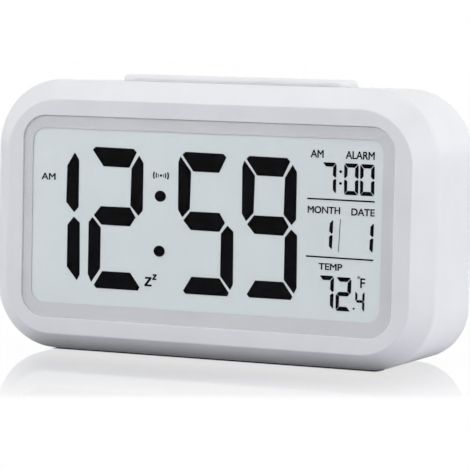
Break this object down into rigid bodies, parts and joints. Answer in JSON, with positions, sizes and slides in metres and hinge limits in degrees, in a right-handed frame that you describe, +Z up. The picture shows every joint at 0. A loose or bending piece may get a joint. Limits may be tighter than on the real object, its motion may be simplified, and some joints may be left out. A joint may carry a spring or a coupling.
{
  "type": "digital alarm clock",
  "caption": "Battery-run digital alarm clock with a wide display in a rounded bezel, a long snooze bar on top, push buttons and a light switch on the back, and a hinged battery door.",
  "frame": {"origin": "middle of the footprint at the height of the table, under the feet", "axes": "+X to the right of someone facing the display, +Y from the display to the back, +Z up"},
  "size_m": [0.137, 0.045, 0.0823],
  "materials": {
    "case_white": "satin, fine moulded grain",
    "bar_white": "satin",
    "door_white": "satin",
    "lens_clear": "clear acrylic",
    "border_grey": "screen print",
    "lcd_grey": "reflective display",
    "guide_clear": "clear acrylic",
    "sheet_white": "white film",
    "lamp_white": "lamp strip",
    "frame_white": "moulded",
    "connector_rubber": "layered silicone",
    "board_green": "solder mask",
    "epoxy_black": "cast resin",
    "can_metal": "drawn can",
    "sleeve_blue": "shrink sleeve",
    "header_white": "nylon",
    "bead_black": "epoxy bead",
    "switch_black": "moulded",
    "plunger_white": "moulded",
    "key_grey": "satin",
    "knob_black": "satin",
    "cell_wrap": "printed wrap",
    "contact_nickel": "nickel plate",
    "cup_black": "moulded",
    "disc_brass": "bare",
    "foot_rubber": "matt",
    "lead_red": "insulation",
    "lead_black": "insulation",
    "ribbon_grey": "flat cable",
    "screw_steel": "zinc plate"
  },
  "bodies": {
    "case": {"front_case": "case_white", "rear_case": "case_white", "display_lens": "lens_clear", "display_mask": "border_grey", "lcd_panel": "lcd_grey", "light_guide": "guide_clear", "reflector_sheet": "sheet_white", "backlight_left": "lamp_white", "backlight_right": "lamp_white", "lcd_holder": "frame_white", "zebra_top": "connector_rubber", "zebra_bottom": "connector_rubber", "main_board": "board_green", "controller_blob": "epoxy_black", "crystal": "can_metal", "capacitor": "sleeve_blue", "header_plus": "header_white", "header_minus": "header_white", "thermistor": "bead_black", "snooze_board": "board_green", "snooze_switch_left": "switch_black", "snooze_switch_right": "switch_black", "key_board": "board_green", "key_switch_set": "switch_black", "key_switch_alarm": "switch_black", "key_switch_up": "switch_black", "key_switch_down": "switch_black", "light_switch_body": "switch_black", "cell_top": "cell_wrap", "cell_middle": "cell_wrap", "cell_bottom": "cell_wrap", "contact_plus": "contact_nickel", "contact_minus": "contact_nickel", "bridge_left": "contact_nickel", "bridge_right": "contact_nickel", "buzzer_cup": "cup_black", "buzzer_disc": "disc_brass", "foot_front_left": "foot_rubber", "foot_front_right": "foot_rubber", "foot_rear_left": "foot_rubber", "foot_rear_right": "foot_rubber", "lead_plus": "lead_red", "lead_minus": "lead_black", "key_ribbon": "ribbon_grey", "snooze_ribbon": "ribbon_grey", "case_screws": "screw_steel", "board_screws": "screw_steel", "switch_screws": "screw_steel"},
    "snooze": {"snooze_bar": "bar_white", "snooze_plunger_left": "plunger_white", "snooze_plunger_right": "plunger_white"},
    "set_key": {"button_set": "key_grey"},
    "alarm_key": {"button_alarm": "key_grey"},
    "up_key": {"button_up": "key_grey"},
    "down_key": {"button_down": "key_grey"},
    "light_knob": {"light_switch_knob": "knob_black"},
    "door": {"battery_door": "door_white"}
  },
  "joints": [
    {"name": "snooze_press", "type": "slide", "parent": "case", "child": "snooze", "axis": [0, 0, -1], "range_m": [0, 0.0012], "stiffness_N_per_m": 600, "springref_m": -0.002},
    {"name": "set_press", "type": "slide", "parent": "case", "child": "set_key", "axis": [0, -1, 0], "range_m": [0, 0.0008], "stiffness_N_per_m": 800, "springref_m": -0.001},
    {"name": "alarm_press", "type": "slide", "parent": "case", "child": "alarm_key", "axis": [0, -1, 0], "range_m": [0, 0.0008], "stiffness_N_per_m": 800, "springref_m": -0.001},
    {"name": "up_press", "type": "slide", "parent": "case", "child": "up_key", "axis": [0, -1, 0], "range_m": [0, 0.0008], "stiffness_N_per_m": 800, "springref_m": -0.001},
    {"name": "down_press", "type": "slide", "parent": "case", "child": "down_key", "axis": [0, -1, 0], "range_m": [0, 0.0008], "stiffness_N_per_m": 800, "springref_m": -0.001},
    {"name": "light_switch_slide", "type": "slide", "parent": "case", "child": "light_knob", "axis": [1, 0, 0], "range_m": [0, 0.004]},
    {"name": "battery_door_hinge", "type": "hinge", "parent": "case", "child": "door", "pos_m": [0, 0.0209, 0.0091], "axis": [-1, 0, 0], "range_deg": [0, 95]}
  ]
}
